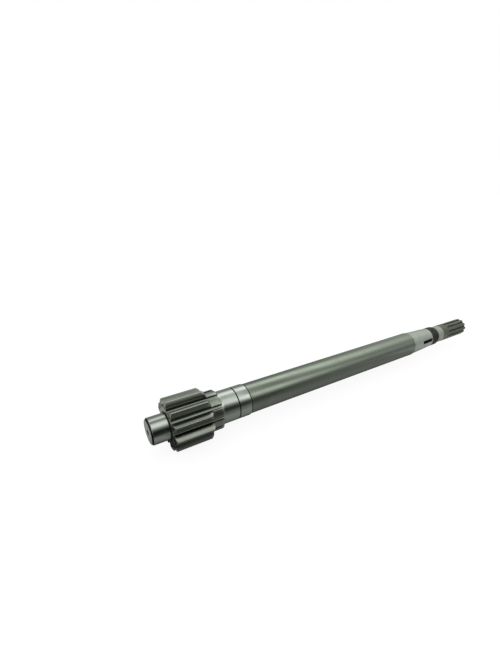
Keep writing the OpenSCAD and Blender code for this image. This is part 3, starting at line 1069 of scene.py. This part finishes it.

# The card that wraps round the shaft, glowing and seen only in its steel, whose bands are painted
# reflections: places along it, then the angle up from the front and the tone of each of its bands, from the
# dark front over the bright and dim ones to the back
SKY_RADIUS = 1.1
REFLECTION_BANDS = (
    ((-4.0, -1.2), ((-2, 0.20), (12, 0.25), (26, 0.45), (42, 0.95), (56, 0.90), (70, 0.35),
                    (90, 0.35), (110, 0.95), (124, 0.90), (144, 0.40), (182, 0.30))),
    ((-0.3,), ((-2, 0.03), (20, 0.03), (38, 0.20), (62, 0.60), (76, 0.60), (98, 0.20),
               (106, 0.20), (119, 0.50), (130, 0.50), (148, 0.20), (182, 0.20))),
    ((0.20,), ((-2, 0.01), (20, 0.01), (38, 0.20), (62, 1.00), (76, 1.00), (98, 0.25),
               (106, 0.25), (119, 0.85), (130, 0.80), (148, 0.25), (182, 0.20))),
    ((0.27,), ((-2, 0.01), (20, 0.01), (38, 0.20), (61, 1.00), (76, 0.98), (97, 0.30),
               (106, 0.30), (119, 0.85), (131, 0.80), (149, 0.25), (182, 0.20))),
    ((0.29, 0.38), ((-2, 0.10), (10, 0.12), (21, 0.03), (36, 0.25), (50, 1.10), (66, 1.00),
                    (82, 0.42), (112, 0.30), (137, 0.95), (152, 0.90), (182, 0.25))),
    ((0.41,), ((-2, 0.02), (20, 0.02), (37, 0.20), (56, 0.95), (76, 0.90), (94, 0.40),
               (105, 0.42), (120, 1.00), (133, 0.98), (151, 0.28), (182, 0.23))),
    ((0.50,), ((-2, 0.03), (20, 0.03), (36, 0.20), (54, 0.90), (76, 0.85), (92, 0.50),
               (104, 0.50), (120, 1.10), (134, 1.05), (152, 0.30), (182, 0.25))),
    ((0.57,), ((-2, 0.04), (18, 0.04), (31, 0.22), (49, 0.95), (66, 0.90), (82, 0.70),
               (101, 0.62), (120, 1.12), (133, 1.08), (151, 0.30), (182, 0.25))),
    ((0.66,), ((-2, 0.06), (16, 0.06), (28, 0.25), (46, 1.40), (57, 1.30), (72, 0.22),
               (100, 0.22), (121, 1.38), (132, 1.25), (150, 0.28), (182, 0.22))),
    ((0.80,), ((-2, 0.10), (14, 0.10), (26, 0.24), (42, 1.15), (52, 1.10), (66, 0.26),
               (92, 0.28), (114, 1.50), (125, 1.40), (146, 0.32), (182, 0.28))),
    ((0.94,), ((-2, 0.13), (12, 0.13), (24, 0.26), (40, 0.95), (48, 0.90), (60, 0.26),
               (78, 0.28), (106, 1.42), (120, 1.30), (143, 0.35), (182, 0.30))),
    ((1.13,), ((-2, 0.20), (10, 0.20), (22, 0.34), (33, 0.62), (42, 0.58), (52, 0.33),
               (62, 0.34), (92, 1.32), (108, 1.22), (132, 0.38), (182, 0.30))),
    ((1.50,), ((-2, 0.22), (10, 0.22), (22, 0.27), (31, 0.34), (42, 0.34), (51, 0.28),
               (62, 0.30), (90, 0.90), (104, 0.86), (130, 0.50), (182, 0.40))),
    ((1.64, 4.0), ((-2, 0.24), (10, 0.26), (22, 0.34), (32, 0.50), (44, 0.48), (52, 0.42),
                   (62, 0.42), (88, 0.85), (104, 0.80), (128, 0.58), (182, 0.45))),
)
# The card on the floor, seen only in the steel, with a painted shadow darker under the shaft: places along
# the shaft, some of which share a tone, then for each distance in front of the axis or behind it the tones
# at those places
FLOOR_PLACES = ((-3.0,), (-0.06,), (-0.02, 0.05), (0.20,), (0.51,), (0.55, 4.0))
FLOOR_TONES = (
    (-3.000, (0.02, 0.02, 0.02, 0.03, 0.12, 0.20)),
    (-0.300, (0.02, 0.02, 0.02, 0.08, 0.17, 0.32)),
    (-0.200, (0.02, 0.02, 0.03, 0.15, 0.20, 0.36)),
    (-0.135, (0.03, 0.03, 0.06, 0.20, 0.22, 0.40)),
    (-0.085, (0.03, 0.03, 0.18, 0.24, 0.24, 0.44)),
    (-0.060, (0.04, 0.04, 0.25, 0.27, 0.26, 0.46)),
    (-0.030, (0.04, 0.04, 0.22, 0.24, 0.25, 0.46)),
    (-0.018, (0.04, 0.04, 0.14, 0.17, 0.18, 0.40)),
    (0.015, (0.04, 0.10, 0.20, 0.10, 0.10, 0.20)),
    (0.030, (0.28, 0.40, 0.40, 0.20, 0.20, 0.20)),
    (0.300, (0.30, 0.45, 0.45, 0.22, 0.22, 0.22)),
    (3.000, (0.20, 0.20, 0.20, 0.20, 0.20, 0.20)),
)
# Dark cards under the shaft and beside its lowest teeth: places along it, then (y, tone)
SHADOWS = {
    "shadow_card": ((0.0, 0.66), ((-0.012, 0.03), (0.048, 0.03))),
    "tooth_shadow_card": ((0.026, 0.085), ((-0.080, 0.16), (-0.040, 0.12), (-0.012, 0.03))),
}
# How far the floor's card lies above the floor, and the dark cards above that
CARD_GAP = 1 * MM


def placed(name, data):
    """A new object in the scene."""
    obj = bpy.data.objects.new(name, data)
    bpy.context.scene.collection.objects.link(obj)
    return obj


def empty_material(name):
    """A material without a shader, its node tree and the socket where its surface goes."""
    material = bpy.data.materials.new(name)
    material.use_nodes = True
    tree = material.node_tree
    tree.nodes.clear()
    return material, tree, tree.nodes.new("ShaderNodeOutputMaterial").inputs["Surface"]


def card_material():
    material, tree, surface = empty_material("studio_card")
    tone = add_node(tree, "ShaderNodeAttribute", attribute_name="tone").outputs["Fac"]
    tree.links.new(add_node(tree, "ShaderNodeEmission", {"Strength": tone}).outputs[0], surface)
    return material


def card(name, rows):
    """A card made from rows of (point, tone), which only shows in reflections."""
    width = len(rows[0])
    faces = []
    for j in range(len(rows) - 1):
        for k in range(j * width, (j + 1) * width - 1):
            faces.append((k, k + 1, k + width + 1, k + width))
    mesh = bpy.data.meshes.new(name)
    mesh.from_pydata([point for row in rows for point, _ in row], [], faces)
    attribute = mesh.attributes.new("tone", "FLOAT", "POINT")
    attribute.data.foreach_set("value", [tone for row in rows for _, tone in row])
    mesh.materials.append(bpy.data.materials.get("studio_card") or card_material())
    obj = placed(name, mesh)
    obj.visible_camera = False
    obj.visible_diffuse = False
    obj.visible_shadow = False
    obj.visible_transmission = False


def seen_or_mirrored(tree):
    """1 for rays from the camera and for those that metal or glass sends on."""
    path = add_node(tree, "ShaderNodeLightPath")
    seen = maths(tree, "MAXIMUM", path.outputs["Is Camera Ray"], path.outputs["Is Glossy Ray"])
    return maths(tree, "MAXIMUM", seen, path.outputs["Is Transmission Ray"])


def set_world(studio):
    world = bpy.data.worlds.new("studio")
    bpy.context.scene.world = world
    world.use_nodes = True
    tree = world.node_tree
    shown = mixed(tree, seen_or_mirrored(tree), rgba([studio.level] * 3), WHITE)
    background = tree.nodes["Background"]
    tree.links.new(shown, background.inputs["Color"])
    background.inputs["Strength"].default_value = 1.0


def set_floor(studio):
    """A plain pale floor that keeps the shaft's soft shadow."""
    near, far = -FLOOR_REACH, FLOOR_REACH
    z = SOLID_LOW.z
    mesh = bpy.data.meshes.new("floor")
    corners = [(near, near, z), (far, near, z), (far, far, z), (near, far, z)]
    mesh.from_pydata(corners, [], [(0, 1, 2, 3)])
    material, tree, surface = empty_material("pale_floor")
    matt = add_node(tree, "ShaderNodeBsdfDiffuse", {"Color": rgba(studio.floor)})
    white = add_node(tree, "ShaderNodeEmission", {"Color": WHITE, "Strength": FLOOR_STRENGTH})
    share = maths(tree, "MULTIPLY", seen_or_mirrored(tree), studio.floor_glow)
    inputs = {0: share, 1: matt.outputs[0], 2: white.outputs[0]}
    tree.links.new(add_node(tree, "ShaderNodeMixShader", inputs).outputs[0], surface)
    mesh.materials.append(material)
    floor = placed("floor", mesh)


def set_cards(studio):
    """Glowing cards round the shaft that show only in its steel: painted reflections, and painted shadows
    on the floor.
    """
    z = SOLID_LOW.z + CARD_GAP
    rows = []
    for y, tones in FLOOR_TONES:
        rows.append([((x, y, z), tone) for xs, tone in zip(FLOOR_PLACES, tones) for x in xs])
    card("floor_reflection_card", rows)
    z += CARD_GAP
    for name, (places, tones) in SHADOWS.items():
        card(name, [[((x, y, z), tone) for x in places] for y, tone in tones])
    rows = []
    for places, bands in REFLECTION_BANDS:
        for x in places:
            row = []
            for degrees, tone in bands:
                a = math.radians(degrees)
                spot = (x, -SKY_RADIUS * math.cos(a), SKY_RADIUS * math.sin(a))
                row.append((spot, tone * studio.card_level))
            rows.append(row)
    card("painted_reflection_card", rows)


def set_lamps(studio):
    """Two wide softboxes overhead, for a plain even light."""
    for name, place in LAMP_PLACES.items():
        lamp = bpy.data.lights.new(name, "AREA")
        lamp.shape = "RECTANGLE"
        lamp.size, lamp.size_y = LAMP_SIZE
        lamp.energy = studio.lamp_power
        obj = placed(name, lamp)
        obj.location = place
        aim = Vector(LAMP_AIM) - obj.location
        obj.rotation_euler = aim.to_track_quat("-Z", "Y").to_euler()
        obj.visible_camera = False
        obj.visible_glossy = False


# Operators and panel

class SHAFT_OT_place_camera(bpy.types.Operator):
    """Place the camera at the viewing angle of the picture"""

    bl_idname = "shaft.place_camera"
    bl_label = "Place camera"

    def execute(self, context):
        scene = context.scene
        lens = bpy.data.cameras.new("camera")
        lens.lens = scene.shaft_studio.lens
        lens.sensor_width = CAMERA_FRAME_MM
        lens.shift_x, lens.shift_y = CAMERA_SHIFT
        lens.clip_start, lens.clip_end = CAMERA_RANGE
        camera = placed("camera", lens)
        aim = Vector(CAMERA_AIM) - Vector(CAMERA_PLACE)
        facing = aim.to_track_quat("-Z", "Y").to_matrix().to_4x4()
        roll = Matrix.Rotation(CAMERA_ROLL, 4, "Z")
        camera.matrix_world = Matrix.Translation(CAMERA_PLACE) @ facing @ roll
        scene.camera = camera
        return {"FINISHED"}


class SHAFT_OT_build_shaft(bpy.types.Operator):
    """Build the finished shaft with its teeth, key seat, thread and splines"""

    bl_idname = "shaft.build_shaft"
    bl_label = "Build shaft"

    def execute(self, context):
        s = context.scene.shaft_sizes
        at = stations(s)
        if abs(at.end - SOLID_HIGH.x) > 0.05 * MM:
            raise RuntimeError("the sizes do not add up to the length of the solid")
        tip_x, hole = centre_hole(s, 0.0, 1)
        skin = Skin(tip_x)
        skin.turn(hole, hole_finish(s, 0.0))
        for build in (
            build_spigot, build_pinion, build_shoulder, build_journal_and_body, build_taper,
            build_thread, build_relief, build_splines, build_far_face,
        ):
            build(skin, s, at)
        piece = placed(PIECE, skin.mesh(PIECE))
        welded(piece.data)
        for material in make_finishes(context.scene.shaft_looks):
            piece.data.materials.append(material)
        sink_key_seat(piece, s, at)
        mesh = piece.data
        welded(mesh)
        mesh.polygons.foreach_set("use_smooth", [True] * len(mesh.polygons))
        mesh.set_sharp_from_angle(angle=SHARP_ANGLE)
        mesh.name = PIECE
        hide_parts("axle_shaft")
        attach(piece, "root")
        return {"FINISHED"}


class SHAFT_OT_set_stage(bpy.types.Operator):
    """Set the pale floor, the white background, the cards and the lamps"""

    bl_idname = "shaft.set_stage"
    bl_label = "Set stage"

    def execute(self, context):
        scene = context.scene
        scene.view_settings.view_transform = "Standard"
        for part in (set_world, set_floor, set_cards, set_lamps):
            part(scene.shaft_studio)
        return {"FINISHED"}


class SHAFT_PT_sidebar(bpy.types.Panel):
    """The shaft's operators in the sidebar"""

    bl_label = "Axle shaft"
    bl_space_type = "VIEW_3D"
    bl_region_type = "UI"
    bl_category = "Shaft"

    def draw(self, context):
        for operator in OPERATORS:
            self.layout.operator(operator.bl_idname)


PROPERTY_GROUPS = {
    "shaft_sizes": ShaftSizes,
    "shaft_looks": SteelLooks,
    "shaft_studio": StudioSettings,
}
OPERATORS = (SHAFT_OT_place_camera, SHAFT_OT_build_shaft, SHAFT_OT_set_stage)


def register():
    for cls in (*PROPERTY_GROUPS.values(), *OPERATORS, SHAFT_PT_sidebar):
        bpy.utils.register_class(cls)
    for name, cls in PROPERTY_GROUPS.items():
        setattr(bpy.types.Scene, name, PointerProperty(type=cls))


def unregister():
    for name in PROPERTY_GROUPS:
        delattr(bpy.types.Scene, name)
    for cls in (SHAFT_PT_sidebar, *reversed(OPERATORS), *reversed(PROPERTY_GROUPS.values())):
        bpy.utils.unregister_class(cls)


def main():
    register()
    bpy.ops.shaft.place_camera()
    bpy.ops.shaft.build_shaft()
    bpy.ops.shaft.set_stage()


if __name__ == "__main__":
    main()
